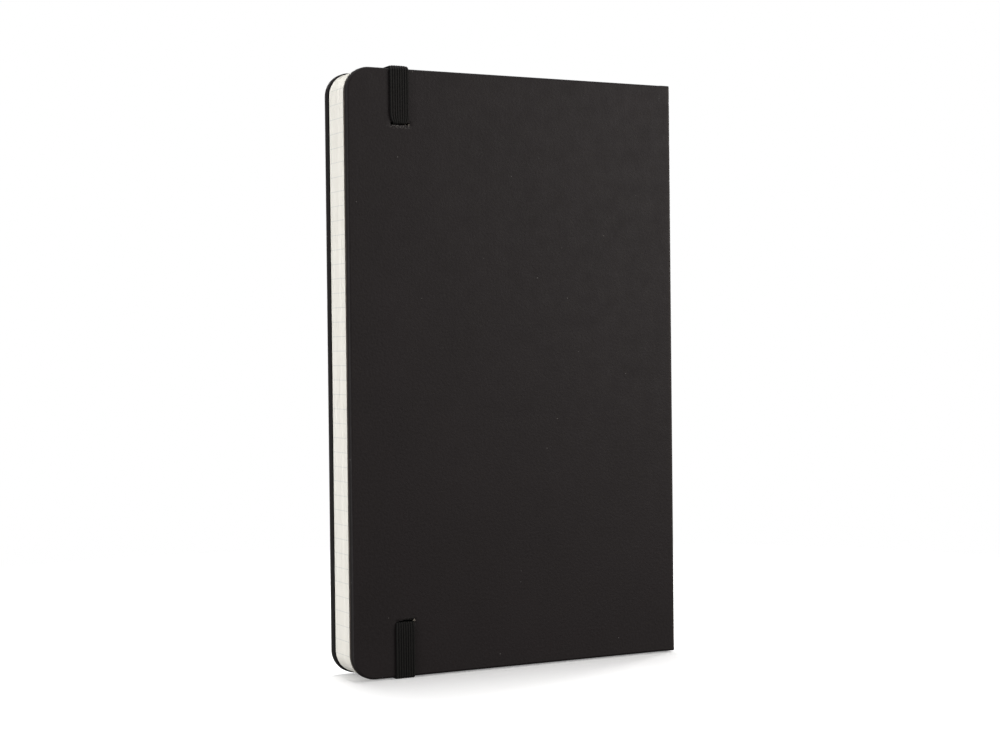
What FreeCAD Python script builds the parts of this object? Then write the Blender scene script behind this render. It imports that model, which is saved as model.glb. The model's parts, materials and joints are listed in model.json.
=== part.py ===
"""Hard-cover notebook with an elastic closure band and an inner pocket, in millimetres.

The closed book stands on its bottom edge. +Z is up along the spine, +X points from the
fore-edge to the spine, and +Y from the back cover to the front cover. The origin is on the
surface that the book stands on, below the middle of the book.
"""
import FreeCAD
import Part

import math
import os

# The case: two boards and a spine strip inside one wrapped skin
COVER_WIDTH = 130.0
COVER_HEIGHT = 210.0
CORNER_RADIUS = 8.5
LEAST_CORNER_RADIUS = 1.0
SKIN = 0.35
BOARD = 3.0
TURN_IN_THICKNESS = 0.3
TURN_IN_WIDTH = 14.0
OUTER_EDGE_RADIUS = 0.8
INNER_EDGE_RADIUS = 0.5
SPINE_BOARD = 1.3
SPINE_BOARD_SIDE_CLEARANCE = 0.1

# The hinge lines, where the case folds, and the running gap at each
HINGE_FROM_SPINE = 4.0
HINGE_STANDOFF = 0.15
HINGE_HALF_GAP = 0.3

# The paper
SHEET = 0.095
SHEETS_PER_SIGNATURE = 4
SIGNATURES = 15
SIGNATURE_GAP = 0.03
ENDPAPER = 0.15
ENDPAPER_GAP = 0.02
PASTEDOWN_INSET = 3.0
OVERHANG = 0.5

# The turning leaves fold a little further from the spine one after the other
LEAF_FOLD_FROM_HINGE = 2.5
LEAF_FOLD_STEP = 1.0
LEAF_FOLD_CLEARANCE = 0.25
FRONT_TURNING_LEAVES = 3
BACK_TURNING_LEAVES = 2

# The binding
THREAD_RADIUS = 0.15
THREAD_STATIONS = 5
THREAD_END_MARGIN = 16.0
LINER = 0.35
LINER_END_MARGIN = 10.0

# The elastic band
BAND_WIDTH = 7.2
BAND_THICKNESS = 0.85
BAND_FROM_FORE_EDGE = 19.5
BAND_EDGE_RADIUS = 0.4
PRESSED_BAND = 0.45
PRESSED_TAIL = 0.55
TAIL_LENGTH = 14.0
SLOT_FROM_EDGE = 19.0
SLOT_WIDTH = 8.0
SLOT_HEIGHT = 1.3

# The inner pocket on the back cover
POCKET_DEPTH = 0.9
POCKET_CARD = 0.4
POCKET_CLOTH = 0.45
POCKET_WIDTH = 112.0
POCKET_HEIGHT = 152.0
POCKET_FROM_FORE_EDGE = 6.0
POCKET_FROM_BOTTOM = 6.0
GUSSET_WIDTH = 9.0
FLANGE_HEIGHT = 10.0
PANEL_FOLD_CLEARANCE = 0.1

# Bodies that move past each other stay this far apart
RUNNING_GAP = 0.05

# Worked out: the thickness, layer by layer
COVER = SKIN + BOARD + ENDPAPER
LEAF_STACK = 2 * SHEETS_PER_SIGNATURE * SHEET
BLOCK = SIGNATURES * LEAF_STACK + (SIGNATURES - 1) * SIGNATURE_GAP
FLYLEAVES = 2 * (ENDPAPER + ENDPAPER_GAP)
THICKNESS = 2 * COVER + POCKET_DEPTH + 2 * RUNNING_GAP + FLYLEAVES + BLOCK
HALF = THICKNESS / 2
FRONT_FLYLEAF_Y = HALF - COVER - RUNNING_GAP - ENDPAPER
BACK_FLYLEAF_Y = -HALF + COVER + POCKET_DEPTH + RUNNING_GAP
BLOCK_FRONT_Y = FRONT_FLYLEAF_Y - ENDPAPER_GAP

# Worked out: the outline. The book stands on the band, pressed flat under its bottom edge
LOW = PRESSED_BAND + RUNNING_GAP
HIGH = LOW + COVER_HEIGHT
MIDDLE = (LOW + HIGH) / 2
FORE_EDGE = -COVER_WIDTH / 2
SPINE = COVER_WIDTH / 2
HINGE = SPINE - HINGE_FROM_SPINE
BOARD_END = HINGE - HINGE_HALF_GAP
SPINE_SKIN_END = HINGE + HINGE_HALF_GAP
SPINE_BOARD_OUT = SPINE - SKIN
SPINE_BOARD_IN = SPINE_BOARD_OUT - SPINE_BOARD
BLOCK_SPINE = SPINE_BOARD_IN - LINER - 2 * THREAD_RADIUS
BLOCK_LOW = LOW + OVERHANG
BLOCK_HIGH = HIGH - OVERHANG
BLOCK_FORE = FORE_EDGE + OVERHANG
FLYLEAF_FOLD = HINGE - LEAF_FOLD_FROM_HINGE
BAND_X = FORE_EDGE + BAND_FROM_FORE_EDGE
MARGIN = 1.0


def box(x, y, z):
    """Box between three pairs of limits."""
    size = (x[1] - x[0], y[1] - y[0], z[1] - z[0])
    return Part.makeBox(*size, FreeCAD.Vector(x[0], y[0], z[0]))


def plate(inset, x_spine, y):
    """Plate with the cover's outline moved in by inset, square at x_spine, between two Y limits."""
    x_fore = FORE_EDGE + inset
    low = LOW + inset
    high = HIGH - inset
    radius = max(CORNER_RADIUS - inset, LEAST_CORNER_RADIUS)
    bulge = radius * (1 - math.sqrt(0.5))

    def point(x, z):
        return FreeCAD.Vector(x, y[0], z)

    low_corner = Part.Arc(
        point(x_fore + radius, low), point(x_fore + bulge, low + bulge), point(x_fore, low + radius)
    )
    high_corner = Part.Arc(
        point(x_fore, high - radius), point(x_fore + bulge, high - bulge), point(x_fore + radius, high)
    )
    edges = [
        low_corner.toShape(),
        Part.makeLine(point(x_fore, low + radius), point(x_fore, high - radius)),
        high_corner.toShape(),
        Part.makeLine(point(x_fore + radius, high), point(x_spine, high)),
        Part.makeLine(point(x_spine, high), point(x_spine, low)),
        Part.makeLine(point(x_spine, low), point(x_fore + radius, low)),
    ]
    return Part.Face(Part.Wire(edges)).extrude(FreeCAD.Vector(0, y[1] - y[0], 0))


def cover_layer(inset, x_spine, depth):
    """Layer of the front cover between two depths below its outer face."""
    return plate(inset, x_spine, (HALF - depth[1], HALF - depth[0]))


def edges_in_plane(shape, y, x_open=None):
    """Edges that lie in the plane at y, without the one on the open side at x_open."""
    found = []
    for edge in shape.Edges:
        ends = [vertex.Point for vertex in edge.Vertexes]
        in_plane = all(abs(end.y - y) < 1e-6 for end in ends)
        on_open_side = x_open is not None and all(abs(end.x - x_open) < 1e-6 for end in ends)
        if in_plane and not on_open_side:
            found.append(edge)
    return found


def mirrored(shape):
    """The same shape on the back cover's side."""
    return shape.mirror(FreeCAD.Vector(0, 0, 0), FreeCAD.Vector(0, 1, 0))


def upside_down(shape):
    """The same shape turned over about the middle of the cover's height."""
    return shape.mirror(FreeCAD.Vector(0, 0, MIDDLE), FreeCAD.Vector(0, 0, 1))


def cover_board():
    """Board of the front cover, pressed in along three edges by the skin's turn-ins."""
    inner = SKIN + BOARD
    board = cover_layer(SKIN, BOARD_END, (SKIN, inner))
    turn_in_depth = (inner - TURN_IN_THICKNESS, inner + MARGIN)
    frame = cover_layer(0, BOARD_END + MARGIN, turn_in_depth)
    frame = frame.cut(cover_layer(TURN_IN_WIDTH, BOARD_END + 2 * MARGIN, turn_in_depth))
    return board.cut(frame)


def cover_skin(board):
    """Skin of the front cover, round its board on three sides and open at the hinge."""
    inner = SKIN + BOARD
    skin = cover_layer(0, BOARD_END, (0, inner))
    skin = skin.makeFillet(OUTER_EDGE_RADIUS, edges_in_plane(skin, HALF, BOARD_END))
    skin = skin.makeFillet(INNER_EDGE_RADIUS, edges_in_plane(skin, HALF - inner, BOARD_END))
    return skin.cut(board)


def pastedown():
    """Half of the front endpaper that is glued to the board."""
    return cover_layer(PASTEDOWN_INSET, BOARD_END, (SKIN + BOARD, COVER))


def slots():
    """Cutter for the two slits in the back cover that the band passes through."""
    z = HIGH - SLOT_FROM_EDGE
    x = (BAND_X - SLOT_WIDTH / 2, BAND_X + SLOT_WIDTH / 2)
    y = (-HALF - MARGIN, -HALF + SKIN + BOARD)
    upper = box(x, y, (z - SLOT_HEIGHT / 2, z + SLOT_HEIGHT / 2))
    return upper.fuse(upside_down(upper))


def band_tails(side_clearance):
    """Two flattened ends of the band, glued into the inner face of the back board."""
    z = HIGH - SLOT_FROM_EDGE + BAND_THICKNESS / 2
    half_width = BAND_WIDTH / 2 + side_clearance
    inner = -HALF + SKIN + BOARD
    upper = box(
        (BAND_X - half_width, BAND_X + half_width),
        (inner - PRESSED_TAIL, inner),
        (z - TAIL_LENGTH - side_clearance, z),
    )
    return upper.fuse(upside_down(upper))


def band_leg(tails):
    """Upper end of the band: glued tail, passage through the slit, and the leg up the back face."""
    x = (BAND_X - BAND_WIDTH / 2, BAND_X + BAND_WIDTH / 2)
    z = HIGH - SLOT_FROM_EDGE
    passage = box(
        x,
        (-HALF - BAND_THICKNESS, -HALF + SKIN + BOARD),
        (z - BAND_THICKNESS / 2, z + BAND_THICKNESS / 2),
    )
    lower_edge = [
        edge
        for edge in edges_in_plane(passage, -HALF - BAND_THICKNESS)
        if all(vertex.Z < z for vertex in edge.Vertexes)
    ]
    passage = passage.makeFillet(BAND_EDGE_RADIUS, lower_edge)
    leg = box(x, (-HALF - BAND_THICKNESS, -HALF), (z, HIGH + RUNNING_GAP))
    upper_tail = max(tails.Solids, key=lambda solid: solid.CenterOfMass.z)
    return passage.fuse([leg, upper_tail]).removeSplitter()


def band_bridge(z):
    """Stretch of the band across the book's thickness, between two Z limits."""
    x = (BAND_X - BAND_WIDTH / 2, BAND_X + BAND_WIDTH / 2)
    reach = HALF + RUNNING_GAP + BAND_THICKNESS
    return box(x, (-reach, reach), z)


def band_run():
    """Stretch of the band down the front face."""
    x = (BAND_X - BAND_WIDTH / 2, BAND_X + BAND_WIDTH / 2)
    front = HALF + RUNNING_GAP
    return box(x, (front, front + BAND_THICKNESS), (LOW, HIGH))


def spine_skin():
    """Skin over the spine board and the two joints, turned in at the head and the tail."""
    whole = (LOW, HIGH)
    skin = box((SPINE_SKIN_END, SPINE), (-HALF, HALF), whole)
    outside = [edge for edge in skin.Edges if any(vertex.X > SPINE - 1e-6 for vertex in edge.Vertexes)]
    skin = skin.makeFillet(OUTER_EDGE_RADIUS, outside)
    side = HALF - SKIN
    open_side = box((SPINE_SKIN_END - MARGIN, SPINE_BOARD_IN), (-side, side), (LOW - MARGIN, HIGH + MARGIN))
    cavity = box((SPINE_SKIN_END, SPINE_BOARD_OUT), (-side, side), (LOW + SKIN, HIGH - SKIN))
    return skin.cut(open_side).cut(cavity)


def spine_board():
    """Stiff strip inside the spine."""
    side = HALF - SKIN - SPINE_BOARD_SIDE_CLEARANCE
    return box((SPINE_BOARD_IN, SPINE_BOARD_OUT), (-side, side), (LOW + SKIN, HIGH - SKIN))


def spine_liner():
    """Open cloth glued over the folds of the signatures."""
    x = (SPINE_BOARD_IN - LINER, SPINE_BOARD_IN)
    y = (BACK_FLYLEAF_Y, FRONT_FLYLEAF_Y + ENDPAPER)
    return box(x, y, (BLOCK_LOW + LINER_END_MARGIN, BLOCK_HIGH - LINER_END_MARGIN))


def sewing_thread():
    """Link stitches that run across the folds at each sewing station."""
    first = BLOCK_LOW + THREAD_END_MARGIN
    spacing = (BLOCK_HIGH - THREAD_END_MARGIN - first) / (THREAD_STATIONS - 1)
    length = BLOCK - LEAF_STACK
    stitches = []
    for station in range(THREAD_STATIONS):
        start = FreeCAD.Vector(
            BLOCK_SPINE + THREAD_RADIUS, BLOCK_FRONT_Y - LEAF_STACK / 2 - length, first + station * spacing
        )
        stitches.append(Part.makeCylinder(THREAD_RADIUS, length, start, FreeCAD.Vector(0, 1, 0)))
    return Part.makeCompound(stitches)


def folded_stack(y, x_fore, x_spine):
    """Stack of leaves between two Y limits with a round fold at the spine, before trimming."""
    radius = (y[1] - y[0]) / 2
    x_arc = x_spine - radius
    fold = Part.Arc(
        FreeCAD.Vector(x_arc, y[0], BLOCK_LOW),
        FreeCAD.Vector(x_spine, y[0] + radius, BLOCK_LOW),
        FreeCAD.Vector(x_arc, y[1], BLOCK_LOW),
    )
    corners = [
        FreeCAD.Vector(x_arc, y[1], BLOCK_LOW),
        FreeCAD.Vector(x_fore, y[1], BLOCK_LOW),
        FreeCAD.Vector(x_fore, y[0], BLOCK_LOW),
        FreeCAD.Vector(x_arc, y[0], BLOCK_LOW),
    ]
    lines = [Part.makeLine(corners[i], corners[i + 1]) for i in range(3)]
    face = Part.Face(Part.Wire([fold.toShape()] + lines))
    return face.extrude(FreeCAD.Vector(0, 0, BLOCK_HIGH - BLOCK_LOW))


def signature_limits(number):
    """Y limits of a signature, where number 1 is next to the front cover."""
    front = BLOCK_FRONT_Y - (number - 1) * (LEAF_STACK + SIGNATURE_GAP)
    return front - LEAF_STACK, front


def signature_sheets(number):
    """Folded sheets of a signature, the outermost first, each nested in the one before."""
    back, front = signature_limits(number)
    trim = plate(OVERHANG, BLOCK_SPINE + MARGIN, (back - MARGIN, front + MARGIN))
    sheets = []
    for n in range(SHEETS_PER_SIGNATURE):
        inset = n * SHEET
        sheet = folded_stack((back + inset, front - inset), BLOCK_FORE, BLOCK_SPINE - inset)
        if n + 1 < SHEETS_PER_SIGNATURE:
            inset += SHEET
            inside = (back + inset, front - inset)
            sheet = sheet.cut(folded_stack(inside, BLOCK_FORE - MARGIN, BLOCK_SPINE - inset))
        sheets.append(sheet.common(trim))
    return sheets


def leaf_fold(number):
    """X of a turning leaf's fold: 0 is the flyleaf, and the next ones are further in."""
    return FLYLEAF_FOLD - number * LEAF_FOLD_STEP


def turning_leaf(number, y):
    """Leaf up to its fold, between two Y limits."""
    return plate(OVERHANG, leaf_fold(number) - LEAF_FOLD_CLEARANCE, y)


def leaf_cutter(number, y):
    """What a turning leaf leaves out of its folded sheet."""
    x = (BLOCK_FORE - MARGIN, leaf_fold(number) + LEAF_FOLD_CLEARANCE)
    return box(x, y, (BLOCK_LOW - MARGIN, BLOCK_HIGH + MARGIN))


def endpaper_hinge(y):
    """Strip of an endpaper that is glued to the block beside the spine."""
    strip = plate(OVERHANG, BLOCK_SPINE, (y, y + ENDPAPER))
    return strip.cut(leaf_cutter(0, (y - MARGIN, y + ENDPAPER + MARGIN)))


def text_block():
    """Signatures with their turning leaves split off, as nodes by name."""
    made = {}
    leaves = 2 * SHEETS_PER_SIGNATURE * SIGNATURES
    for number in range(1, SIGNATURES + 1):
        back, front = signature_limits(number)
        sheets = signature_sheets(number)
        if number == 1:
            for n in range(FRONT_TURNING_LEAVES):
                y = (front - (n + 1) * SHEET, front - n * SHEET)
                made[f"leaf_{n + 1:03d}"] = turning_leaf(n + 1, y)
                sheets[n] = sheets[n].cut(leaf_cutter(n + 1, y))
        if number == SIGNATURES:
            for n in range(BACK_TURNING_LEAVES):
                y = (back + n * SHEET, back + (n + 1) * SHEET)
                made[f"leaf_{leaves - n:03d}"] = turning_leaf(n + 1, y)
                sheets[n] = sheets[n].cut(leaf_cutter(n + 1, y))
        made[f"signature_{number:02d}"] = Part.makeCompound(sheets)
    return made


def endpapers():
    """Pastedowns, glued strips and turning flyleaves, as nodes by name."""
    front = (FRONT_FLYLEAF_Y, FRONT_FLYLEAF_Y + ENDPAPER)
    back = (BACK_FLYLEAF_Y, BACK_FLYLEAF_Y + ENDPAPER)
    return {
        "front_pastedown": pastedown(),
        "front_endpaper_hinge": endpaper_hinge(front[0]),
        "front_flyleaf": turning_leaf(0, front),
        "back_pastedown": mirrored(pastedown()),
        "back_endpaper_hinge": endpaper_hinge(back[0]),
        "back_flyleaf": turning_leaf(0, back),
    }


def case():
    """Boards, skin and spine, as nodes by name."""
    board = cover_board()
    skin = cover_skin(board)
    back_board = mirrored(board).cut(slots()).cut(band_tails(RUNNING_GAP))
    return {
        "front_board": board,
        "front_cover_skin": skin,
        "back_board": back_board,
        "back_cover_skin": mirrored(skin).cut(slots()),
        "spine_skin": spine_skin(),
        "spine_board": spine_board(),
        "spine_liner": spine_liner(),
        "sewing_thread": sewing_thread(),
    }


def elastic():
    """The band, split where it goes over the edges of the book, as nodes by name."""
    leg = band_leg(band_tails(0))
    upper = HIGH + RUNNING_GAP
    return {
        "elastic_upper_leg": leg,
        "elastic_upper_bridge": band_bridge((upper, upper + BAND_THICKNESS)),
        "elastic_run": band_run(),
        "elastic_lower_bridge": band_bridge((0, PRESSED_BAND)),
        "elastic_lower_leg": upside_down(leg),
    }


def pocket():
    """Card panel, its glued flange and the two folded cloth gussets, as nodes by name."""
    x = (FORE_EDGE + POCKET_FROM_FORE_EDGE, FORE_EDGE + POCKET_FROM_FORE_EDGE + POCKET_WIDTH)
    low = LOW + POCKET_FROM_BOTTOM
    high = low + POCKET_HEIGHT
    glued = -HALF + COVER
    panel_y = (glued + POCKET_DEPTH - POCKET_CARD, glued + POCKET_DEPTH)
    cloth_y = (glued, glued + POCKET_CLOTH)
    flange_x = (x[0] + GUSSET_WIDTH + PANEL_FOLD_CLEARANCE, x[1] - GUSSET_WIDTH - PANEL_FOLD_CLEARANCE)
    return {
        "pocket_panel": box(x, panel_y, (low + PANEL_FOLD_CLEARANCE, high)),
        "pocket_flange": box(flange_x, cloth_y, (low, low + FLANGE_HEIGHT)),
        "pocket_gusset_fore": box((x[0], x[0] + GUSSET_WIDTH), cloth_y, (low, high)),
        "pocket_gusset_spine": box((x[1] - GUSSET_WIDTH, x[1]), cloth_y, (low, high)),
    }


nodes = {}
for group in (case(), endpapers(), text_block(), elastic(), pocket()):
    nodes.update(group)

os.makedirs("parts", exist_ok=True)
for name, shape in nodes.items():
    shape.exportStep(f"parts/{name}.step")

print(f"{len(nodes)} nodes, {COVER_WIDTH} x {THICKNESS:.2f} x {COVER_HEIGHT} mm without the band")
print(f"hinges at x {HINGE}, y +-{HALF + HINGE_STANDOFF:.3f}; cover middle z {MIDDLE}")
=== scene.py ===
"""Pocket notebook: the visual model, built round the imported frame. Lengths are in mm until a mesh is made."""
import json
import math
import random
from collections import namedtuple

import bpy
import numpy as np
from mathutils import Matrix, Vector


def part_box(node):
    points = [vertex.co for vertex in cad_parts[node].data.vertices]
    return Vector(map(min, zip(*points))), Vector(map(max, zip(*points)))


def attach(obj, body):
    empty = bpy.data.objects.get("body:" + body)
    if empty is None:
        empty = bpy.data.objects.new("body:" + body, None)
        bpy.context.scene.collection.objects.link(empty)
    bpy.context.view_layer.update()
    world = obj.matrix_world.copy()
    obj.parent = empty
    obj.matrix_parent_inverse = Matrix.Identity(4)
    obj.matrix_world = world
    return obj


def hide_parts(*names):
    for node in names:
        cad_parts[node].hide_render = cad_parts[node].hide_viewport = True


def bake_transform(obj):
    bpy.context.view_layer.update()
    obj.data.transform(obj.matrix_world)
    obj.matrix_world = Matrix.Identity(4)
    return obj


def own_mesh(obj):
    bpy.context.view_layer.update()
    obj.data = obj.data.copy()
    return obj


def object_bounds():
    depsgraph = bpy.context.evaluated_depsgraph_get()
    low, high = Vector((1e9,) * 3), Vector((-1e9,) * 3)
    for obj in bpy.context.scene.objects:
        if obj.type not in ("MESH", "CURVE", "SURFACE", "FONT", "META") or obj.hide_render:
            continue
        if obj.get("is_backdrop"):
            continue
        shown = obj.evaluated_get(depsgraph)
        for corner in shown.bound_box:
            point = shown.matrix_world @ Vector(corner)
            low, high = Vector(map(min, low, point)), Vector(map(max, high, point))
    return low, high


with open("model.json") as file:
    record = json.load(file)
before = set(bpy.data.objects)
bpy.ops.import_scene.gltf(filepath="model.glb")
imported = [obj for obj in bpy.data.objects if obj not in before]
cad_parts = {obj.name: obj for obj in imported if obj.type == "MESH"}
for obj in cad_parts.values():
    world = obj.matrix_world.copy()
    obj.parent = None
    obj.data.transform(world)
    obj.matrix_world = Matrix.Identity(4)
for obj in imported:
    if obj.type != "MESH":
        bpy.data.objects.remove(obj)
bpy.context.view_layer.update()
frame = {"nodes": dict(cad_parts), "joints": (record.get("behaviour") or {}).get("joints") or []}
random.seed(7)

MM = 0.001


def span(node):
    """Lowest and highest corner of a CAD node, in mm."""
    low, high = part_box(node)
    return low / MM, high / MM


# ------------------------------------------------------------------ sizes read from the frame
PLATE_LOW, PLATE_HIGH = span("back_cover_skin")
SPINE_FACE = span("spine_skin")[1].x
FOOT, HEAD = PLATE_LOW.z, PLATE_HIGH.z
HALF = -PLATE_LOW.y
FORE = PLATE_LOW.x
PLATE_DEPTH = PLATE_HIGH.y - PLATE_LOW.y
HINGE_X = next(j for j in frame["joints"] if j["name"] == "front_cover_open")["pos_m"][0] / MM
BLOCK_LOW, BLOCK_HIGH = span("signature_08")

BAND_LOW, BAND_HIGH = span("elastic_run")
BAND_WIDTH = BAND_HIGH.x - BAND_LOW.x
HEIGHT = HEAD - FOOT

# ------------------------------------------------------------------ the book's own measures
SKIN = 0.35               # leather-cloth on the boards
TURN_IN = 0.3             # leather-cloth folded in behind them
TURN_IN_REACH = 7.5
CORNER = 8.5              # the covers' fore-edge corners
OUTER_ROUND = 0.8         # the covers' edges, outside and inside
INNER_ROUND = 0.5
SPINE_ROUND = 0.85
FOLDED_DEPTH = 0.7        # the skin folded double at the hinge, and with the spine strip in it
SPINE_DEPTH = 1.95
GRID_INSET = 0.8          # where the flat part of the skin's grid starts
SHEET_THICK = 0.09
SHEET_PITCH = 0.095
RULE_PITCH = 5.0
LEAF_CORNER = CORNER - (BLOCK_LOW.x - FORE)
SLIT_U, SLIT_V = 19.9, 19.0               # the slits' middles, from the fore-edge and from foot or head
SLIT_HALF_U, SLIT_HALF_V = 3.6, 0.45
RIBS = 8
RIB_PITCH = BAND_WIDTH / RIBS


# ------------------------------------------------------------------ meshes
def make_mesh(name, points, faces, place=None, sharp=38, **face_values):
    """A mesh object in metres. place is each point's place for the materials, in mm.

    Other values are stored by name, one per point or one per face.
    """
    mesh = bpy.data.meshes.new(name)
    mesh.from_pydata([tuple(c * MM for c in p) for p in points], [], faces)
    mesh.validate()
    put = mesh.attributes.new("place", "FLOAT_VECTOR", "POINT")
    put.data.foreach_set("vector", (np.array(points if place is None else place, float) * MM).ravel())
    for key, values in face_values.items():
        domain = "POINT" if len(values) == len(points) else "FACE"
        extra = mesh.attributes.new(key, "FLOAT", domain)
        extra.data.foreach_set("value", np.array(values, float))
    mesh.polygons.foreach_set("use_smooth", [True] * len(mesh.polygons))
    mesh.set_sharp_from_angle(angle=math.radians(sharp))
    piece = bpy.data.objects.new(name, mesh)
    bpy.context.scene.collection.objects.link(piece)
    return piece


def dress(piece, material):
    """Gives a piece its material."""
    piece.data.materials.clear()
    piece.data.materials.append(material)
    return piece


# ------------------------------------------------------------------ materials
class Maker:
    """Adds nodes to one material's tree."""

    def __init__(self, name):
        self.material = bpy.data.materials.new(name)
        self.material.use_nodes = True
        self.tree = self.material.node_tree
        self.shader = self.tree.nodes["Principled BSDF"]

    def add(self, kind, inputs=None, **settings):
        node = self.tree.nodes.new(kind)
        for key, value in settings.items():
            setattr(node, key, value)
        for key, value in (inputs or {}).items():
            self.feed(node.inputs[key], value)
        return node

    def feed(self, socket, value):
        if isinstance(value, bpy.types.NodeSocket):
            self.tree.links.new(value, socket)
        else:
            socket.default_value = value

    def math(self, operation, *values):
        node = self.add("ShaderNodeMath", operation=operation)
        for socket, value in zip(node.inputs, values):
            self.feed(socket, value)
        return node.outputs[0]

    def place(self, stored=True):
        """Where a point lies at rest: the stored attribute, or a CAD node's own coordinates."""
        if stored:
            return self.add("ShaderNodeAttribute", attribute_name="place").outputs["Vector"]
        return self.add("ShaderNodeTexCoord").outputs["Object"]

    def value(self, name):
        return self.add("ShaderNodeAttribute", attribute_name=name).outputs["Fac"]

    def noise(self, place, size, detail=2.0, roughness=0.5):
        """Noise whose features are about size mm."""
        inputs = {"Vector": place, "Scale": 1 / (size * MM), "Detail": detail, "Roughness": roughness}
        return self.add("ShaderNodeTexNoise", inputs).outputs["Fac"]

    def cells(self, place, size, feature="F1"):
        """Distance in cells of about size mm."""
        inputs = {"Vector": place, "Scale": 1 / (size * MM)}
        return self.add("ShaderNodeTexVoronoi", inputs, feature=feature).outputs["Distance"]

    def ramp(self, value, low, high, to_low=0.0, to_high=1.0):
        inputs = {"Value": value, "From Min": low, "From Max": high, "To Min": to_low, "To Max": to_high}
        return self.add("ShaderNodeMapRange", inputs).outputs["Result"]

    def mix(self, share, first, second):
        """Two colours mixed. The node's float and colour inputs share their names, so these go by type."""
        node = self.add("ShaderNodeMix", data_type="RGBA")
        self.feed(node.inputs["Factor"], share)
        for socket, value in zip([s for s in node.inputs if s.type == "RGBA"], (first, second)):
            self.feed(socket, value)
        return [s for s in node.outputs if s.type == "RGBA"][0]

    def bump(self, height, distance, strength=1.0, under=None):
        node = self.add("ShaderNodeBump", {"Height": height, "Distance": distance * MM, "Strength": strength})
        if under is not None:
            self.feed(node.inputs["Normal"], under)
        return node.outputs["Normal"]

    def set(self, **sockets):
        for key, value in sockets.items():
            self.feed(self.shader.inputs[key.replace("_", " ")], value)
        return self.material


def leather_cloth():
    """Matte near-black coated cloth: pebble grain, faint mottling and specks.

    Above 0 the edge value paints a lighter brown: rubbed wear at the hinge and painted highlight lines along the
    covers' edges. Below 0 it is painted shade, darker and rougher, along the edges and at a slit's lip. The fleck
    value lightens the skin in fine flecks below a slit.
    """
    m = Maker("leather_cloth")
    at = m.place()
    pebble = m.cells(at, 0.55)
    crease = m.cells(at, 1.1, feature="DISTANCE_TO_EDGE")
    fine = m.noise(at, 0.16, 3.0, 0.6)
    grain = m.noise(at, 0.95, 2.0, 0.55)
    cloud = m.noise(at, 28.0, 4.0, 0.55)
    smudge = m.noise(at, 6.0, 3.0, 0.6)
    speck = m.math("LESS_THAN", m.cells(at, 7.0), 0.024)
    # Rubbed wear at the hinge and painted highlight lines along the covers' edges.
    rub_and_painted_light = m.math("MULTIPLY", m.value("wear"), m.ramp(m.noise(at, 1.6, 3.0), 0.3, 0.7, 0.25, 1.0))
    # Light flecks below a slit.
    light_fleck_share = m.math("MULTIPLY", m.value("scuff"), m.ramp(m.noise(at, 0.75, 1.0), 0.5, 0.6))
    # Painted shade along the covers' edges and at a slit's lip, darker and rougher.
    painted_shade = m.ramp(m.value("wear"), 0.0, -1.0)
    tone = m.mix(m.ramp(cloud, 0.35, 0.65), (0.0113, 0.0084, 0.0085, 1), (0.0144, 0.0108, 0.0111, 1))
    tone = m.mix(m.ramp(grain, 0.3, 0.7, 0.0, 0.6), tone, (0.0207, 0.0165, 0.0172, 1))
    tone = m.mix(m.ramp(fine, 0.35, 0.7, 0.0, 0.2), tone, (0.0207, 0.0168, 0.0176, 1))
    # Lighter brown: rubbed wear and painted highlight.
    tone = m.mix(m.math("MULTIPLY", rub_and_painted_light, 0.6), tone, (0.118, 0.096, 0.078, 1))
    # Near black: painted shade.
    tone = m.mix(m.math("MULTIPLY", painted_shade, 0.75), tone, (0.004, 0.0036, 0.0034, 1))
    tone = m.mix(m.math("MULTIPLY", light_fleck_share, 0.8), tone, (0.3, 0.285, 0.27, 1))
    tone = m.mix(m.math("MULTIPLY", speck, 0.7), tone, (0.2, 0.19, 0.18, 1))
    rough = m.math("ADD", m.ramp(smudge, 0.3, 0.7, 0.47, 0.55), m.math("MULTIPLY", fine, 0.08))
    rough = m.math("ADD", rough, m.math("MULTIPLY", painted_shade, 0.22))
    normal = m.bump(m.math("SMOOTH_MIN", crease, 0.18, 0.1), 0.05, 0.35)
    normal = m.bump(grain, 0.1, 0.6, normal)
    normal = m.bump(pebble, 0.035, 0.4, normal)
    normal = m.bump(fine, 0.008, 0.5, normal)
    normal = m.bump(cloud, 0.25, 0.25, normal)
    return m.set(Base_Color=tone, Roughness=rough, Normal=normal, Specular_IOR_Level=0.2)


def elastic_knit():
    """Black elastic: the ribs are in the mesh, the knit's rows and yarn are here. The grooves between the ribs are
    painted near black: painted shade.

    Where the lower leg's value is set, the knit is painted darker all over: painted shade.
    """
    m = Maker("elastic_knit")
    at = m.place()
    part = m.add("ShaderNodeSeparateXYZ", {0: at})
    across, along = part.outputs[0], part.outputs[1]
    rib = m.math("PINGPONG", m.math("MULTIPLY", across, 1 / (RIB_PITCH * MM)), 0.5)
    row = m.math("SINE", m.math("ADD", m.math("MULTIPLY", along, 2 * math.pi / (0.42 * MM)),
                                m.math("MULTIPLY", rib, 3.2)))
    yarn = m.noise(at, 0.12, 3.0)
    # The grooves between the ribs are painted near black: painted shade in the recesses.
    tone = m.mix(m.ramp(rib, 0.1, 0.36), (0.0014, 0.0015, 0.0014, 1), (0.0195, 0.0185, 0.0172, 1))
    fuzz = m.math("MULTIPLY", m.ramp(yarn, 0.4, 0.8, 0.0, 0.6), m.ramp(rib, 0.1, 0.3))
    tone = m.mix(fuzz, tone, (0.034, 0.032, 0.03, 1))
    # Painted shade: the lower leg's knit is painted darker all over.
    tone = m.mix(m.math("MULTIPLY", m.value("ground"), 0.35), tone, (0.0014, 0.0015, 0.0014, 1))
    normal = m.bump(row, 0.05, 0.5)
    normal = m.bump(yarn, 0.04, 0.6, normal)
    return m.set(Base_Color=tone, Roughness=0.8, Normal=normal, Specular_IOR_Level=0.14)


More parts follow.
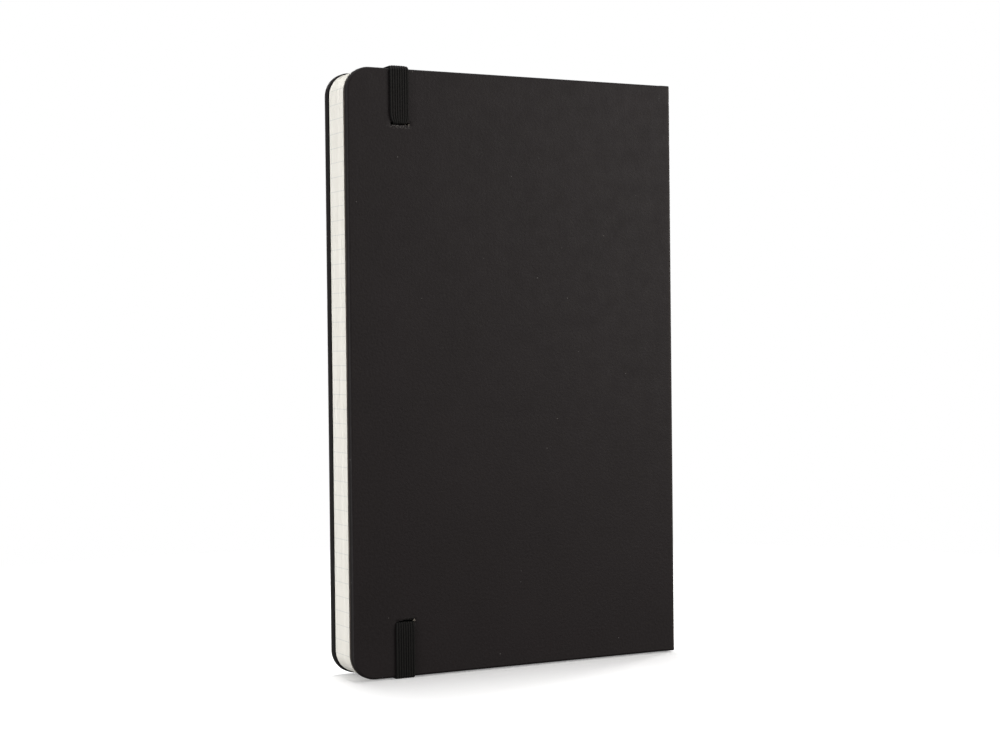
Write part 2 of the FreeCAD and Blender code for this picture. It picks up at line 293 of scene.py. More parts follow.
def ruled_paper():
    """Ivory uncoated paper with a pale square ruling that runs off the sheet, so it marks the edges too."""
    m = Maker("ruled_paper")
    at = m.place()
    part = m.add("ShaderNodeSeparateXYZ", {0: at})
    edge = m.value("edge")
    lines = []
    for axis, start in ((0, FORE + 3.9), (2, FOOT + 2.9)):
        shifted = m.math("ADD", part.outputs[axis], -start * MM)
        cell = m.math("PINGPONG", m.math("MULTIPLY", shifted, 1 / (RULE_PITCH * MM)), 0.5)
        lines.append(m.ramp(cell, 0.016, 0.03, 1.0, 0.0))
    ink = m.math("MAXIMUM", *lines)
    share = m.math("MULTIPLY", ink, m.math("SUBTRACT", 0.62, m.math("MULTIPLY", edge, 0.36)))
    fibre = m.noise(at, 0.35, 4.0, 0.65)
    cloud = m.noise(at, 9.0, 3.0)
    tone = m.mix(m.ramp(cloud, 0.3, 0.7), (0.86, 0.838, 0.782, 1), (0.83, 0.808, 0.748, 1))
    tone = m.mix(m.ramp(fibre, 0.35, 0.75, 0.0, 0.25), tone, (0.76, 0.74, 0.68, 1))
    tone = m.mix(share, tone, (0.42, 0.455, 0.465, 1))
    normal = m.bump(fibre, 0.02, 0.35)
    return m.set(Base_Color=tone, Roughness=0.86, Normal=normal, Specular_IOR_Level=0.3)


def plain_sheet(name, light, dark, fibre_size, rough, stored=True, relief=0.03, painted_slit_shadow=None):
    """Uncoated paper, card or pasteboard: two tones clouded and flecked by its fibres.

    The optional patch is painted near black, as (middle, reach) in mm along X and along Z: painted shadow where the
    board shows through a slit.
    """
    m = Maker(name)
    at = m.place(stored)
    fibre = m.noise(at, fibre_size, 5.0, 0.7)
    cloud = m.noise(at, 12.0, 3.0)
    share = m.math("ADD", m.ramp(fibre, 0.3, 0.75, 0.0, 0.7), m.ramp(cloud, 0.3, 0.7, 0.0, 0.3))
    tone = m.mix(share, (*light, 1), (*dark, 1))
    # A near-black patch: painted shadow where the board shows through a slit.
    if painted_slit_shadow:
        part = m.add("ShaderNodeSeparateXYZ", {0: at})
        shadow_patch = []
        for axis, (middle, reach) in zip((0, 2), painted_slit_shadow):
            away = m.math("ABSOLUTE", m.math("SUBTRACT", part.outputs[axis], middle * MM))
            shadow_patch.append(m.ramp(away, reach * MM, (reach + 0.2) * MM, 1.0, 0.0))
        tone = m.mix(m.math("MULTIPLY", *shadow_patch), tone, (0.004, 0.0038, 0.0036, 1))
    normal = m.bump(fibre, relief, 0.4)
    return m.set(Base_Color=tone, Roughness=rough, Normal=normal, Specular_IOR_Level=0.3)


def woven(name, light, dark, pitch, axes, stored=True):
    """Plain-weave cloth: two crossed sets of threads along the given axes."""
    m = Maker(name)
    at = m.place(stored)
    part = m.add("ShaderNodeSeparateXYZ", {0: at})
    turns = 2 * math.pi / (pitch * MM)
    waves = [m.math("SINE", m.math("MULTIPLY", part.outputs[axis], turns)) for axis in axes]
    weave = m.math("MULTIPLY", *waves)
    slub = m.noise(at, pitch * 2.5, 3.0)
    share = m.math("MULTIPLY", m.ramp(weave, -1.0, 1.0), m.ramp(slub, 0.3, 0.7, 0.5, 1.0))
    tone = m.mix(share, (*dark, 1), (*light, 1))
    normal = m.bump(weave, 0.06, 0.6)
    return m.set(Base_Color=tone, Roughness=0.88, Normal=normal, Sheen_Weight=0.1)


leather = leather_cloth()
elastic = elastic_knit()
ruled = ruled_paper()
IVORY = (0.82, 0.80, 0.72), (0.76, 0.735, 0.65)
GREY_BOARD = (0.40, 0.36, 0.30), (0.27, 0.235, 0.19)
ivory = plain_sheet("ivory_endpaper", *IVORY, 0.5, 0.84)
ivory_cad = plain_sheet("ivory_endpaper_strip", *IVORY, 0.5, 0.84, False)
card = plain_sheet("pocket_card", (0.80, 0.775, 0.69), (0.72, 0.69, 0.60), 0.7, 0.8, False)
# Near black behind the lower slit: painted shadow inside the slit.
pasteboard = plain_sheet("pasteboard", *GREY_BOARD, 0.9, 0.9, False, 0.08,
                         ((FORE + SLIT_U - 0.4, SLIT_HALF_U), (FOOT + SLIT_V, 1.4)))
strip_board = plain_sheet("strip_board", *GREY_BOARD, 0.9, 0.9, True, 0.08)
gauze = woven("liner_gauze", (0.72, 0.70, 0.64), (0.45, 0.43, 0.38), 0.8, (1, 2), False)
bellows = woven("bellows_cloth", (0.028, 0.026, 0.025), (0.009, 0.009, 0.009), 0.45, (0, 2))
linen = woven("linen_thread", (0.78, 0.75, 0.68), (0.5, 0.47, 0.4), 0.35, (1, 2), False)

# ------------------------------------------------------------------ the case's sheet, one half each side of mid-spine
BEND_START = SPINE_FACE - SPINE_ROUND - FORE
BEND_END = BEND_START + SPINE_ROUND * math.pi / 2
SHEET_END = BEND_END + HALF - SPINE_ROUND
BOARD_END = PLATE_HIGH.x - FORE


def on_sheet(u, v, depth, side):
    """A point of the case's sheet: u from fore-edge to mid-spine, v up from the foot, depth under the outside."""
    if u <= BEND_START:
        spot, inward = (FORE + u, -HALF), (0, 1)
    elif u < BEND_END:
        turn = (u - BEND_START) / SPINE_ROUND
        inward = (-math.sin(turn), math.cos(turn))
        spot = (SPINE_FACE - SPINE_ROUND * (1 - math.sin(turn)), -HALF + SPINE_ROUND * (1 - math.cos(turn)))
    else:
        spot, inward = (SPINE_FACE, -HALF + SPINE_ROUND + u - BEND_END), (-1, 0)
    return spot[0] + inward[0] * depth, -side * (spot[1] + inward[1] * depth), FOOT + v


def edge_depth(u):
    """How thick the wrapped edge is: board, then the folded hinge, then the spine strip."""
    if u <= BOARD_END:
        return PLATE_DEPTH
    if u < BEND_END + 0.1:
        return FOLDED_DEPTH
    return SPINE_DEPTH


# A slit's middle, the way its frayed lip lies, how far it slants and frays, and how far its lip gapes.
Slit = namedtuple("Slit", "u v inward slant fray gape")
LOW_SLIT = Slit(SLIT_U, SLIT_V, 1, 0.085, 0.1, 1.0)
HIGH_SLIT = Slit(SLIT_U, HEIGHT - SLIT_V, -1, 0.0, 1.0, 0.0)


def dimple(u, v, slits):
    """How far the skin is drawn in round a slit, how much it is lightened in flecks beside it, and how much painted
    shade darkens its lip.
    """
    depth, scuff, dark = 0.0, 0.0, 0.0
    for slit in slits:
        du = max(abs(u - slit.u) - SLIT_HALF_U, 0.0)
        dv = max(abs(v - slit.v) - SLIT_HALF_V, 0.0)
        depth += 0.16 * math.exp(-((du * du + dv * dv) / 0.5**2))
        past = (v - slit.v) * slit.inward - SLIT_HALF_V
        if past > 0:
            off = u - slit.u
            across = slit.fray * math.exp(-(off / 3.9) ** 4)
            ripple = 0.35 + 0.4 * math.cos(off * 4.3) + 0.25 * math.cos((off + 1.0) * 2.3)
            depth -= 0.16 * ripple * math.exp(-(((past - 0.7) / 0.4) ** 2)) * across
            scuff += math.exp(-(((past - 0.2) / 0.6) ** 2)) * across
            lip = 0.28 + 0.06 * max(off + SLIT_HALF_U, 0.0)
            folded = slit.gape * math.exp(-((past / lip) ** 4) - (off / 3.8) ** 8)
            depth += 0.12 * folded
            # Where the lip folds in it is painted dark: painted shade along the slit.
            dark += folded
    return depth, scuff, dark


def slit_lift(u, v, slit):
    """How far the skin's grid is moved up round a slit: slanted, and its upper lip raised."""
    off = u - slit.u
    slanted = slit.slant * off * math.exp(-((off / 6) ** 4) - ((v - slit.v) / 5) ** 4)
    up = (v - slit.v + SLIT_HALF_V) / (2 * SLIT_HALF_V)
    if up >= 1:
        share = math.exp(-(((v - slit.v - SLIT_HALF_V) / 1.5) ** 2))
    else:
        share = up * up * (3 - 2 * up) if up > 0 else 0.0
    across = (off + SLIT_HALF_U) / (2 * SLIT_HALF_U)
    return slanted + slit.gape * (0.2 + 0.25 * across * across) * share * math.exp(-((off / 3.7) ** 8))


def stations(*knots):
    """Values through (value, step to the next) knots."""
    out = []
    for (value, step), (following, _) in zip(knots, knots[1:]):
        count = max(1, round((following - value) / step))
        out += [value + (following - value) * k / count for k in range(count)]
    return out + [knots[-1][0]]


def edge_section(depth, side):
    """(inset, depth, shading value) round a wrapped edge, from the cover's outer face to the skin's inner face. The
    value is painted light and shade along the edge, with some rubbed wear.
    """
    outer_r, inner_r = min(OUTER_ROUND, depth / 2), min(INNER_ROUND, depth / 2 - 0.02)
    back = side < 0
    section = []
    for step in range(1, 6):
        a = math.radians(18 * step)
        # Outer rounding: painted shade on the back cover; rubbed wear and painted highlight on the front cover.
        wear = -0.2 - 0.12 * step if back else 0.9 * (math.sin(2 * a) * 0.9 + 0.1)
        section.append((outer_r * (1 - math.sin(a)), outer_r * (1 - math.cos(a)), wear))
    wall = depth - inner_r - outer_r
    # Wall: on the back cover painted shade, then a painted highlight line next to the pages; on the front cover
    # painted shade towards the pages.
    wall_painted_light = ((0.15, -0.9), (0.44, -0.9), (0.62, 1.2)) if back else ((0.2, 0.1), (0.5, -0.9), (0.9, -1.0))
    section += [(0, outer_r + wall * part, wear) for part, wear in wall_painted_light]
    for step in range(5):
        a = math.radians(22.5 * step)
        # Inner rounding: a painted highlight on the back cover, painted shade on the front cover.
        wear = (0.55 if step < 2 else 0.15) if back else -1.0
        section.append((inner_r * (1 - math.cos(a)), depth - inner_r * (1 - math.sin(a)), wear))
    return section + [
        (3.5, depth, 0), (TURN_IN_REACH, depth, 0), (TURN_IN_REACH, depth - TURN_IN, 0),
        (SKIN, depth - TURN_IN, 0), (SKIN, SKIN, 0),
    ]


def case_half(name, side, slits):
    """One half of the case's skin: outer face, rounded edges, turn-in, and the inner face behind it."""
    us = stations(
        (GRID_INSET, 1.1), (CORNER, 1.0), (13.5, 0.4), (SLIT_U - SLIT_HALF_U, 0.32),
        (SLIT_U + SLIT_HALF_U, 0.4), (25.5, 1.5), (31.0, 8.0), (BOARD_END - 4, 0.5), (BOARD_END - 1, 0.25),
        (BEND_START, 0.24), (BEND_END, 0.12), (BEND_END + 0.12, 1.0), (SHEET_END, 1.0),
    )
    low = stations(
        (GRID_INSET, 1.1), (CORNER, 2.0), (16.0, 0.4), (SLIT_V - SLIT_HALF_V, 0.45), (SLIT_V + SLIT_HALF_V, 0.2),
        (22.0, 1.5), (31.0, 14.0), (HEIGHT / 2, 1.0),
    )
    vs = low + [HEIGHT - v for v in reversed(low[:-1])]
    nu, nv = len(us), len(vs)
    reach = CORNER - GRID_INSET

    def planned(i, j):
        """Grid point after the two fore-edge corners are drawn round."""
        u, v = us[i], vs[j]
        far = v > HEIGHT / 2
        w = HEIGHT - v if far else v
        if u < CORNER and w < CORNER:
            a, b = (CORNER - u) / reach, (CORNER - w) / reach
            u = CORNER - reach * a * math.sqrt(1 - b * b / 2)
            w = CORNER - reach * b * math.sqrt(1 - a * a / 2)
        v = HEIGHT - w if far else w
        for slit in slits:
            v += slit_lift(u, v, slit)
        return u, v

    points, place, wear, scuff = [], [], [], []

    def put(u, v, depth, rub_and_painted_light=0.0, light_fleck_share=0.0):
        points.append(on_sheet(u, v, depth, side))
        place.append((side * (SHEET_END - u), depth, v))
        wear.append(rub_and_painted_light)
        scuff.append(light_fleck_share)
        return len(points) - 1

    def bend_rub(u):
        return 0.55 * math.exp(-(((u - (BEND_START + BEND_END) / 2) / 0.8) ** 2))

    outer, inner = {}, {}
    for i in range(nu):
        for j in range(nv):
            u, v = planned(i, j)
            drawn, light_fleck_share, dark = dimple(u, v, slits)
            # Rubbed wear at the hinge, less the painted shade along a slit's lip.
            outer[i, j] = put(u, v, drawn, bend_rub(u) - dark, light_fleck_share)
            inner[i, j] = put(u, v, SKIN)

    holes = set()
    for slit in slits:
        columns = [i for i in range(nu - 1) if abs((us[i] + us[i + 1]) / 2 - slit.u) < SLIT_HALF_U]
        rows = [j for j in range(nv - 1) if abs((vs[j] + vs[j + 1]) / 2 - slit.v) < SLIT_HALF_V]
        holes |= {(i, j) for i in columns for j in rows}

    faces = []

    def face(*corners):
        faces.append(corners if side < 0 else corners[::-1])

    for i in range(nu - 1):
        for j in range(nv - 1):
            if (i, j) in holes:
                for (a, b), (di, dj) in (
                    (((i, j), (i + 1, j)), (0, -1)), (((i + 1, j), (i + 1, j + 1)), (1, 0)),
                    (((i + 1, j + 1), (i, j + 1)), (0, 1)), (((i, j + 1), (i, j)), (-1, 0)),
                ):
                    if (i + di, j + dj) not in holes:
                        face(outer[a], outer[b], inner[b], inner[a])
                continue
            face(outer[i, j], outer[i + 1, j], outer[i + 1, j + 1], outer[i, j + 1])
            face(inner[i, j], inner[i, j + 1], inner[i + 1, j + 1], inner[i + 1, j])

    walk = [(i, 0) for i in range(nu - 1, -1, -1)]
    walk += [(0, j) for j in range(1, nv)]
    walk += [(i, nv - 1) for i in range(1, nu)]

    rails = []
    for i, j in walk:
        u, v = planned(i, j)
        w = min(v, HEIGHT - v)
        if u < CORNER and w < CORNER:
            centre = (CORNER, CORNER if v < HEIGHT / 2 else HEIGHT - CORNER)
            out = Vector((u - centre[0], v - centre[1])).normalized()
        elif i == 0:
            out = Vector((-1, 0))
        else:
            out = Vector((0, -1 if v < HEIGHT / 2 else 1))
        rail = [outer[i, j]]
        for inset, below, rub_and_painted_light in edge_section(edge_depth(u), side):
            shift = GRID_INSET - inset
            rail.append(put(u + out.x * shift, v + out.y * shift, below, rub_and_painted_light))
        rail.append(inner[i, j])
        rails.append(rail)
    for first, second in zip(rails, rails[1:]):
        for k in range(len(first) - 1):
            face(first[k], first[k + 1], second[k + 1], second[k])
    face(*reversed(rails[0]))
    face(*rails[-1])
    last = nu - 1
    for j in range(nv - 1):
        face(outer[last, j], inner[last, j], inner[last, j + 1], outer[last, j + 1])
    piece = make_mesh(name, points, faces, place, sharp=50, wear=wear, scuff=scuff)
    return dress(piece, leather)


back_skin = case_half("back_skin_sheet", -1, (LOW_SLIT, HIGH_SLIT))
front_skin = case_half("front_skin_sheet", 1, ())
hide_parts("back_cover_skin", "spine_skin")
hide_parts("front_cover_skin")
for skin, cover in ((back_skin, "back_cover"), (front_skin, "front_cover")):
    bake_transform(skin)


# ------------------------------------------------------------------ sheets of paper
def round_end(x0, radius, steps=7):
    """Stations across a rounded corner, as (x, how far the corner has cut in)."""
    out = []
    for k in range(steps + 1):
        a = math.pi / 2 * k / steps
        out.append((x0 + radius * (1 - math.cos(a)), radius * (1 - math.sin(a))))
    return out


def strip(path, thickness, foot, head):
    """Points, faces and edge marks of a thin closed sheet. path is (x, y, corner cut) along its middle."""
    points, faces, edge = [], [], []
    count = len(path)
    for k, (x, y, cut) in enumerate(path):
        before, after = path[max(k - 1, 0)], path[min(k + 1, count - 1)]
        run = Vector((after[0] - before[0], after[1] - before[1])).normalized()
        nx, ny = -run.y * thickness / 2, run.x * thickness / 2
        low, high = foot + cut, head - cut
        points += [(x + nx, y + ny, low), (x - nx, y - ny, low), (x - nx, y - ny, high), (x + nx, y + ny, high)]
    for k in range(count - 1):
        a, b = 4 * k, 4 * k + 4
        for p, q, mark in ((0, 1, 1), (1, 2, 0), (2, 3, 1), (3, 0, 0)):
            faces.append((a + p, b + p, b + q, a + q))
            edge.append(mark)
    faces += [(0, 1, 2, 3), tuple(4 * count - 4 + k for k in (3, 2, 1, 0))]
    return points, faces, edge + [1, 1]


def join(parts):
    """Several (points, faces, marks) as one."""
    points, faces, marks = [], [], []
    for p, f, e in parts:
        faces += [tuple(i + len(points) for i in face) for face in f]
        points += p
        marks += e
    return points, faces, marks


def leaf_side(y, x0, cut_at=None):
    """Half a folded sheet from its fore-edge, or from where a turning leaf begins, towards the fold."""
    if cut_at is not None:
        return [(cut_at, y, 0.0)]
    return [(x, y, cut) for x, cut in round_end(x0, LEAF_CORNER)]


# The sewn signatures. Where a sheet's front or back half is a leaf that turns, it stops where that leaf begins:
# (signature, sheet) to that place.
FOLD_X = BLOCK_HIGH.x
FRONT_CUTS = {(1, 0): 57.75, (1, 1): 56.75, (1, 2): 55.75}
BACK_CUTS = {(15, 0): 57.75, (15, 1): 56.75}
for number in range(1, 16):
    node = f"signature_{number:02d}"
    low, high = span(node)
    middle = (low.y + high.y) / 2
    if number == 1:
        middle = span("leaf_001")[1].y - 4 * SHEET_PITCH
    if number == 15:
        middle = span("leaf_120")[0].y + 4 * SHEET_PITCH
    sheets = []
    for k in range(4):
        off = (3.5 - k) * SHEET_PITCH
        front_cut, back_cut = (cuts.get((number, k)) for cuts in (FRONT_CUTS, BACK_CUTS))
        fold = [
            (FOLD_X - 4 * SHEET_PITCH + off * math.cos(a), middle + off * math.sin(a), 0.0)
            for a in (math.radians(d) for d in range(90, -91, -30))
        ]
        x_front = BLOCK_LOW.x + random.uniform(0.0, 0.05)
        x_back = BLOCK_LOW.x + random.uniform(0.0, 0.05)
        path = leaf_side(middle + off, x_front, front_cut) + fold + leaf_side(middle - off, x_back, back_cut)[::-1]
        trim = random.uniform(0.0, 0.07)
        sheets.append(strip(path, SHEET_THICK, BLOCK_LOW.z + trim, BLOCK_HIGH.z - trim))
    points, faces, edge = join(sheets)
    piece = dress(make_mesh(f"gathering_{number:02d}", points, faces, edge=edge), ruled)
    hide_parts(node)
    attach(piece, "text_block")

# Leaves that turn: node, where each folds, material and slot. Each is divided finely over its last CURL mm.
CURL = 13.0
LEAVES = (
    ("leaf_001", 57.5, ruled, "page_paper"), ("leaf_002", 56.5, ruled, "page_paper"),
    ("leaf_003", 55.5, ruled, "page_paper"), ("leaf_119", 56.5, ruled, "page_paper"),
    ("leaf_120", 57.5, ruled, "page_paper"), ("front_flyleaf", 58.5, ivory, "endpaper"),
    ("back_flyleaf", 58.5, ivory, "endpaper"),
)
for node, fold_x, material, slot in LEAVES:
    low, high = span(node)
    y = (low.y + high.y) / 2
    path = [(x, y, cut) for x, cut in round_end(low.x + random.uniform(0.0, 0.06), LEAF_CORNER)]
    path += [(x, y, 0.0) for x in stations((-50.0, 12.0), (fold_x - CURL, 0.5), (high.x, 1.0))]
    points, faces, edge = strip(path, (high.y - low.y) * 0.94, low.z, high.z)
    piece = dress(make_mesh(f"{node}_sheet", points, faces, edge=edge), material)
    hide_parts(node)
    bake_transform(piece)

for cover in ("front", "back"):
    node = f"{cover}_pastedown"
    low, high = span(node)
    y = (low.y + high.y) / 2
    path = [(x, y, cut) for x, cut in round_end(low.x, 6.0)]
    path += [(x, y, 0.0) for x in stations((-50.0, 14.0), (HINGE_X - 1.2, 0.15), (FOLD_X - 0.1, 0.15))]
    points, faces, edge = strip(path, high.y - low.y, low.z, high.z)
    piece = dress(make_mesh(f"{cover}_endpaper_sheet", points, faces, edge=edge), ivory)
    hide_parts(node)
    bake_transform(piece)

# ------------------------------------------------------------------ spine strip, narrower than the folded corners
low, high = span("spine_board")
reach = HALF - SPINE_ROUND - 0.1
points, faces, edge = strip(
    [(SPINE_FACE - SKIN - 0.65, y, 0.0) for y in stations((-reach, 1.0), (reach, 1.0))],
    high.x - low.x - 0.02, low.z + 0.3, high.z - 0.3)
spine_strip = dress(make_mesh("spine_strip", points, faces), strip_board)
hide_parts("spine_board")
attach(spine_strip, "text_block")

# ------------------------------------------------------------------ elastic
BAND_X = (BAND_LOW.x + BAND_HIGH.x) / 2
BAND_THICK = BAND_HIGH.y - BAND_LOW.y
FRONT_Y = (BAND_LOW.y + BAND_HIGH.y) / 2
BACK_Y = span("elastic_upper_leg")[0].y + BAND_THICK / 2
TOP_Z = span("elastic_upper_bridge")[1].z - BAND_THICK / 2
LOW_Z = span("elastic_lower_bridge")[1].z / 2
TURN = OUTER_ROUND + BAND_THICK / 2 + 0.05


def band_section():
    """(across, half thickness) over the band's width: round-backed ribs with a soft selvedge."""
    out = []
    for k in range(RIBS * 6 + 1):
        q = k / (RIBS * 6)
        rib = 0.6 + 0.4 * abs(math.sin(math.pi * RIBS * q)) ** 0.7
        margin = min(q, 1 - q) * BAND_WIDTH / 0.28
        rib *= math.sqrt(max(0.0, 1 - max(0.0, 1 - margin) ** 2))
        out.append((q - 0.5, rib / 2))
    return out


def band(name, path, ground=0.0):
    """The elastic swept along path: (y, z, thickness, width share, sideways shift, droop of its edges), in mm."""
    section = band_section()
    loop = section + [(q, -t) for q, t in reversed(section[1:-1])]
    points, place, faces = [], [], []
    along = 0.0
    size = len(loop)
    for k, station in enumerate(path):
        y, z, thick, share, shift, droop = (*station, 0.0, 0.0)[:6]
        before, after = path[max(k - 1, 0)], path[min(k + 1, len(path) - 1)]
        run = Vector((after[0] - before[0], after[1] - before[1])).normalized()
        if k:
            along += math.dist((y, z), path[k - 1][:2])
        for q, t in loop:
            x = BAND_X + shift + q * BAND_WIDTH * share
            out = t * thick + droop * abs(2 * q) ** 5
            points.append((x, y + run.y * out, z - run.x * out))
            place.append((q * BAND_WIDTH, along, t * thick))
    for k in range(len(path) - 1):
        for i in range(size):
            a, b = k * size + i, k * size + (i + 1) % size
            faces.append((a, b, b + size, a + size))
    faces += [tuple(range(size))[::-1], tuple(range(len(points) - size, len(points)))]
    # The band's painted-shade value, the same at every point.
    shown = [ground] * len(points)
    return dress(make_mesh(name, points, faces, place, sharp=70, ground=shown), elastic)


def bend(centre, radius, angles, thick, share=(1.0, 1.0), shift=(0.0, 0.0), droop=(0.0, 0.0), steps=8):
    """Stations round a bend; angles in degrees from +Y towards +Z, and pairs run from its start to its end."""
    out = []
    for k in range(steps + 1):
        part = k / steps
        a, *rest = (low + (high - low) * part for low, high in (angles, thick, share, shift, droop))
        a = math.radians(a)
        out.append((centre[0] + radius[0] * math.cos(a), centre[1] + radius[1] * math.sin(a), *rest))
    return out


def leg(name, upper):
    """From the tail glued inside the cover, out through its slit and along to the edge."""
    slit_z = HEAD - SLIT_V if upper else FOOT + SLIT_V
    way = 1 if upper else -1
    tail_y = span(f"elastic_{name}_leg")[1].y - 0.275
    path = [(tail_y, slit_z - way * 13.2, 0.5, 1.0), (tail_y, slit_z - way * 2.4, 0.5, 1.0)]
    exit_z = slit_z + way * 0.17
    drawn = 1.0 if upper else 0.12      # how much the band is drawn together at its slit

    def narrowed(share):
        return 1 - (1 - share) * drawn

    path += bend((tail_y - 0.5, exit_z - way * 0.5), (0.5, 0.5), (0, way * 90), (0.55, 0.55),
                 (1.0, narrowed(0.72)), (0, 0.25 * drawn), steps=4)
    path += bend((-HALF + 0.07, exit_z + way * 0.36), (0.36, 0.36), (way * -90, way * -180), (0.54, 0.6),
                 (narrowed(0.70), narrowed(0.77)), (0.25 * drawn, 0.23 * drawn), steps=6)
    path += [
        (-HALF - 0.005 - thick / 2, exit_z + way * rise, thick, narrowed(share), shift * drawn)
        for rise, thick, share, shift in (
            (0.6, 0.64, 0.82, 0.2), (1.0, 0.7, 0.88, 0.15), (1.5, 0.76, 0.93, 0.1), (2.2, 0.82, 0.97, 0.04),
            (3.2, 0.84, 1.0, 0.0),
        )
    ]
    end_z = HEAD - OUTER_ROUND if upper else FOOT + OUTER_ROUND
    path += [(BACK_Y, slit_z + (end_z - slit_z) * k / 6, 0.85, 1.0) for k in range(2, 7)]
    # The lower leg is painted darker: painted shade.
    piece = band(f"band_{name}_leg", path, ground=0.0 if upper else 1.0)
    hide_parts(f"elastic_{name}_leg")
    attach(piece, "back_cover")


def bridge(name, upper):
    """Over the head or under the foot, with the turn round each cover's edge."""
    rest_z = HEAD - OUTER_ROUND if upper else FOOT + OUTER_ROUND
    crossing = TOP_Z + 0.2 if upper else LOW_Z
    thin = 0.85 if upper else 0.45
    droop = 0.4 if upper else 0.0
    radius = (TURN, crossing - rest_z)
    back_c, front_c = BACK_Y + TURN, FRONT_Y - TURN
    path = bend((back_c, rest_z), radius, (180, 90), (0.85, thin), droop=(0, droop))
    path += [(y, crossing, thin, 1.0, 0.0, droop) for y in stations((back_c, 2.0), (front_c, 2.0))[1:-1]]
    path += bend((front_c, rest_z), radius, (90, 0), (thin, 0.85), droop=(droop, 0))
    piece = band(f"band_{name}_bridge", path)
    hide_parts(f"elastic_{name}_bridge")
    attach(piece, "back_cover")
    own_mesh(piece)


for name, upper in (("upper", True), ("lower", False)):
    leg(name, upper)
    bridge(name, upper)
run_low, run_high = FOOT + OUTER_ROUND, HEAD - OUTER_ROUND
run = band("band_run", [(FRONT_Y, z, 0.85, 1.0) for z in stations((run_low, 12.0), (run_high, 12.0))])
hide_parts("elastic_run")
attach(run, "elastic_band")

# ------------------------------------------------------------------ pocket gussets, folded cloth bellows
for name, way in (("fore", 1), ("spine", -1)):
    node = f"pocket_gusset_{name}"
    low, high = span(node)
    rim = low.x if way > 0 else high.x
    fold = rim + way * (high.x - low.x - 0.4)
    step = (high.y - low.y) / 4
    path = [(rim, low.y + 0.06, 0.0)]
    path += [(rim + (fold - rim) * k / 4, low.y + 0.06 + step * 0.42 * k, 0.0) for k in range(1, 4)]
    path += [(fold, (low.y + high.y) / 2, 0.0)]
    path += [(rim + (fold - rim) * k / 4, high.y - 0.06 - step * 0.42 * k, 0.0) for k in range(3, 0, -1)]
    path += [(rim, high.y - 0.06, 0.0)]
    points, faces, edge = strip(path, 0.1, low.z, high.z)
    piece = dress(make_mesh(f"pocket_bellows_{name}", points, faces), bellows)
    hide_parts(node)
    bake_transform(piece)

# ------------------------------------------------------------------ CAD nodes that stay
KEPT = {
    "front_board": (pasteboard, "board"), "back_board": (pasteboard, "board"),
    "spine_liner": (gauze, "liner_cloth"), "sewing_thread": (linen, "thread"),
    "front_endpaper_hinge": (ivory_cad, "endpaper"), "back_endpaper_hinge": (ivory_cad, "endpaper"),
    "pocket_panel": (card, "pocket_card"), "pocket_flange": (card, "pocket_card"),
}
for node, (material, slot) in KEPT.items():
    dress(frame["nodes"][node], material)

# ------------------------------------------------------------------ stage
floor_mesh = bpy.data.meshes.new("floor")
floor_mesh.from_pydata([(-6, -6, 0), (6, -6, 0), (6, 6, 0), (-6, 6, 0)], [], [(0, 1, 2, 3)])
floor = bpy.data.objects.new("floor", floor_mesh)
bpy.context.scene.collection.objects.link(floor)
pale = Maker("pale_floor")
spot = pale.add("ShaderNodeVectorMath", {0: pale.place(False)}, operation="LENGTH").outputs["Value"]
# The floor is opaque under the book and fades out into the backdrop, so there is no horizon.
floor.data.materials.append(pale.set(
    Base_Color=(0.88, 0.88, 0.88, 1), Roughness=0.9, Specular_IOR_Level=0.1,
    Emission_Color=(1, 1, 1, 1), Emission_Strength=0.25, Alpha=pale.ramp(spot, 0.16, 0.42, 1.0, 0.0)))
floor.visible_diffuse = False
floor.visible_glossy = False
floor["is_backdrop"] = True

# The backdrop is white to the camera, and a soft light that is brighter above than below to everything else.
world = bpy.data.worlds.new("studio")
bpy.context.scene.world = world
world.use_nodes = True
tree = world.node_tree
background = tree.nodes["Background"]
path_node = tree.nodes.new("ShaderNodeLightPath")
coords = tree.nodes.new("ShaderNodeTexCoord")
parts = tree.nodes.new("ShaderNodeSeparateXYZ")
tree.links.new(coords.outputs["Generated"], parts.inputs[0])
lift = tree.nodes.new("ShaderNodeMapRange")
for key, value in (("From Min", -0.3), ("From Max", 1.0), ("To Min", 0.10), ("To Max", 0.4)):
    lift.inputs[key].default_value = value
tree.links.new(parts.outputs[2], lift.inputs["Value"])
seen = tree.nodes.new("ShaderNodeMix")
seen.data_type = "FLOAT"
tree.links.new(path_node.outputs["Is Camera Ray"], seen.inputs[0])
tree.links.new(lift.outputs["Result"], seen.inputs[2])
seen.inputs[3].default_value = 1.0
tree.links.new(seen.outputs[0], background.inputs["Strength"])
background.inputs["Color"].default_value = (1, 1, 1, 1)


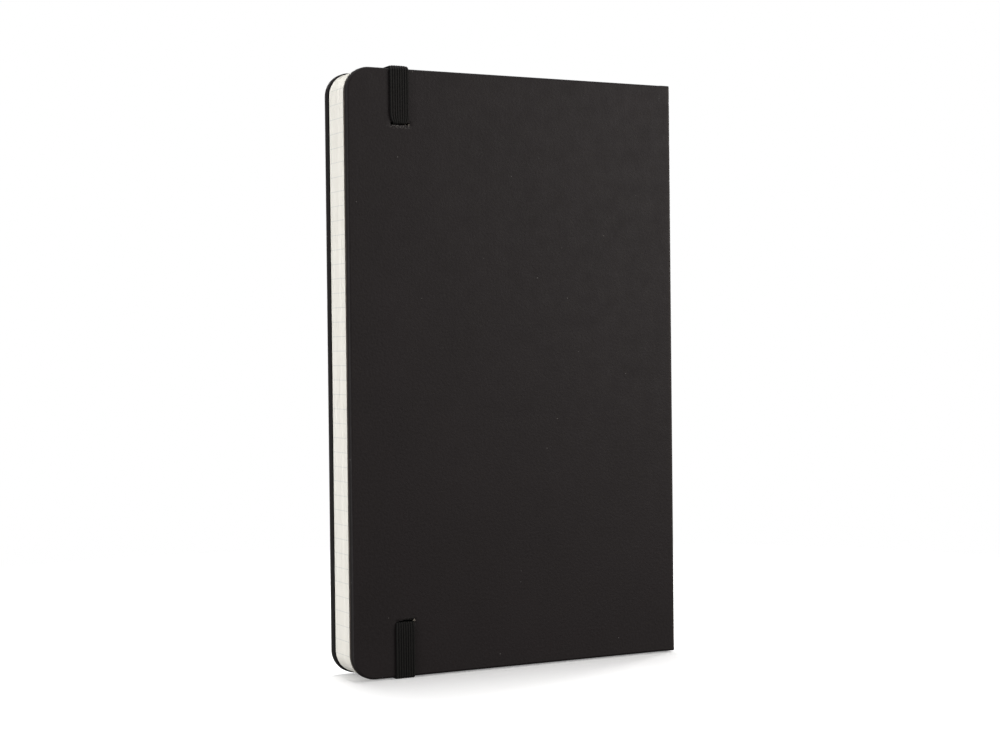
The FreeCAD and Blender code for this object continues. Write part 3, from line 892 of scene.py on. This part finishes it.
def softbox(name, azimuth, elevation, distance, size, watts, tone=(1, 1, 1)):
    """An area light that looks at the middle of the book."""
    lamp = bpy.data.lights.new(name, "AREA")
    lamp.shape, lamp.size, lamp.size_y, lamp.energy, lamp.color = "RECTANGLE", *size, watts, tone
    holder = bpy.data.objects.new(name, lamp)
    a, e = math.radians(azimuth), math.radians(elevation)
    away = Vector((math.sin(a) * math.cos(e), -math.cos(a) * math.cos(e), math.sin(e)))
    holder.location = Vector((0, 0, 0.105)) + away * distance
    holder.rotation_mode = "QUATERNION"
    holder.rotation_quaternion = away.to_track_quat("Z", "Y")
    bpy.context.scene.collection.objects.link(holder)
    return holder


softbox("overhead", 168, 82, 2.0, (0.6, 0.6), 25.5)
softbox("key", -80, -1, 1.1, (0.7, 0.25), 10.9)
softbox("top_right", 48, 16, 0.85, (0.5, 0.6), 4.35, (1.0, 0.96, 0.93))
softbox("rim", 115, 20, 0.9, (0.2, 0.5), 3.0)
softbox("behind", 170, 12, 1.1, (0.5, 0.6), 7.0)

# ------------------------------------------------------------------ camera
bpy.context.scene.view_settings.view_transform = "Standard"
yaw, pitch, roll = (math.radians(d) for d in (-27.579, 0.801, -0.613))
SENSOR_WIDTH = 36.0
FOCAL_SHARE = 1.879       # focal length over the frame's width
turn_y = Matrix(((math.cos(yaw), 0, math.sin(yaw)), (0, 1, 0), (-math.sin(yaw), 0, math.cos(yaw))))
turn_x = Matrix(((1, 0, 0), (0, math.cos(pitch), -math.sin(pitch)), (0, math.sin(pitch), math.cos(pitch))))
turn_z = Matrix(((math.cos(roll), -math.sin(roll), 0), (math.sin(roll), math.cos(roll), 0), (0, 0, 1)))
to_eye = turn_z @ turn_x @ turn_y
offset = Vector((6.53, -1.29, 669.36))
eye = -(to_eye.transposed() @ offset)
MIDDLE = (FOOT + HEAD) / 2
rows = [Vector((row.x, row.z, -row.y)) for row in to_eye]
camera_data = bpy.data.cameras.new("camera")
camera = bpy.data.objects.new("camera", camera_data)
bpy.context.scene.collection.objects.link(camera)
camera_data.sensor_width = SENSOR_WIDTH
camera_data.lens = FOCAL_SHARE * SENSOR_WIDTH
camera_data.clip_start, camera_data.clip_end = 0.01, 50.0
basis = Matrix((rows[0], -rows[1], -rows[2])).transposed()
place = Vector((eye.x, eye.z - HALF, MIDDLE - eye.y)) * MM
camera.matrix_world = Matrix.Translation(place) @ basis.to_4x4()
bpy.context.scene.camera = camera

low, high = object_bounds()
